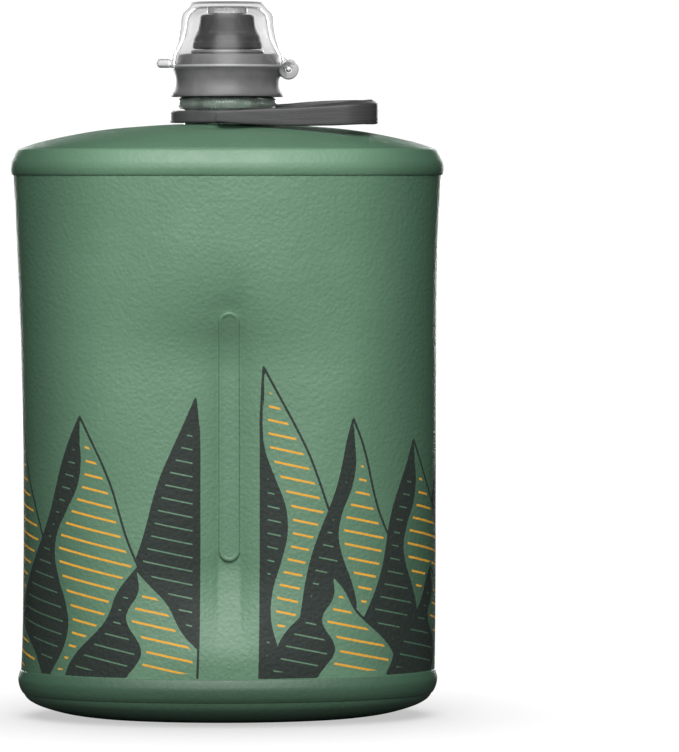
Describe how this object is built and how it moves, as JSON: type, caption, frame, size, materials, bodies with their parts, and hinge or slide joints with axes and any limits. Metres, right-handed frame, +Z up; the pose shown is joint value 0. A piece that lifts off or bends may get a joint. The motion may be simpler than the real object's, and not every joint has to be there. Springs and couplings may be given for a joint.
{
  "type": "folding water bottle",
  "caption": "Soft collapsible water bottle with an oval film body pinched by a central baffle, a screw cap with a twist nozzle and flip cover, and a swivelling carry loop.",
  "frame": {"origin": "on the neck axis, in the plane of the flat pad that the bottle stands on", "axes": "+Z up along the neck axis; +X towards the cover's hinge and the end of the carry loop, across the wide side; -Y is the front"},
  "size_m": [0.1316, 0.07, 0.217],
  "materials": {
    "film": "satin soft film with a fine pebbled grain, slightly translucent",
    "weld": "smooth fused film, satin",
    "neck_clear": "translucent moulded plastic",
    "loop_soft": "matt soft strap with fine lengthwise lines",
    "cap_grey": "satin moulded plastic",
    "nozzle_dark": "satin moulded plastic",
    "seal_pale": "matt silicone",
    "seal_black": "matt rubber",
    "cover_clear": "clear polished plastic",
    "pin_steel": "brushed"
  },
  "bodies": {
    "bottle": {"body_film": "film", "shoulder_panel": "film", "shoulder_rim": "weld", "base_panel": "film", "base_rim": "weld", "baffle_web": "film", "neck_fitment": "neck_clear"},
    "front_bar": {"front_weld_bar": "weld"},
    "back_bar": {"back_weld_bar": "weld"},
    "loop_ring": {"bail_ring": "loop_soft"},
    "loop_strap": {"bail_strap": "loop_soft"},
    "cap_rise": {"cap_gasket": "seal_pale"},
    "cap": {"screw_cap": "cap_grey", "spout_base": "cap_grey", "nozzle_seal": "seal_black", "hinge_pin": "pin_steel"},
    "nozzle": {"nozzle": "nozzle_dark", "valve_disc": "seal_pale"},
    "cover": {"dust_cover": "cover_clear", "cover_plug": "cover_clear"}
  },
  "joints": [
    {"name": "cover_hinge", "type": "hinge", "parent": "cap", "child": "cover", "pos_m": [0.0186, 0, 0.1966], "axis": [0, 1, 0], "range_deg": [0, 105]},
    {"name": "nozzle_twist", "type": "hinge", "parent": "cap", "child": "nozzle", "pos_m": [0, 0, 0.208], "axis": [0, 0, 1], "range_deg": [0, 90]},
    {"name": "cap_lift", "type": "slide", "parent": "bottle", "child": "cap_rise", "axis": [0, 0, 1], "range_m": [0, 0.0063]},
    {"name": "cap_unscrew", "type": "hinge", "parent": "cap_rise", "child": "cap", "pos_m": [0, 0, 0.193], "axis": [0, 0, 1], "range_deg": [0, 540]},
    {"name": "loop_swivel", "type": "hinge", "parent": "bottle", "child": "loop_ring", "pos_m": [0, 0, 0.1822], "axis": [0, 0, 1], "continuous": true},
    {"name": "loop_lift", "type": "hinge", "parent": "loop_ring", "child": "loop_strap", "pos_m": [0, 0, 0.1822], "axis": [0, -1, 0], "range_deg": [0, 90]},
    {"name": "flatten_front", "type": "slide", "parent": "bottle", "child": "front_bar", "axis": [0, 1, 0], "range_m": [0, 0.0192], "deforming": ["body_film", "shoulder_panel", "shoulder_rim", "base_panel", "base_rim", "baffle_web"]},
    {"name": "flatten_back", "type": "slide", "parent": "bottle", "child": "back_bar", "axis": [0, -1, 0], "range_m": [0, 0.0192]}
  ],
  "couplings": [
    {"joint": "cap_lift", "follows": "cap_unscrew", "m_per_rad": 0.00066845},
    {"joint": "flatten_back", "follows": "flatten_front", "ratio": 1}
  ]
}
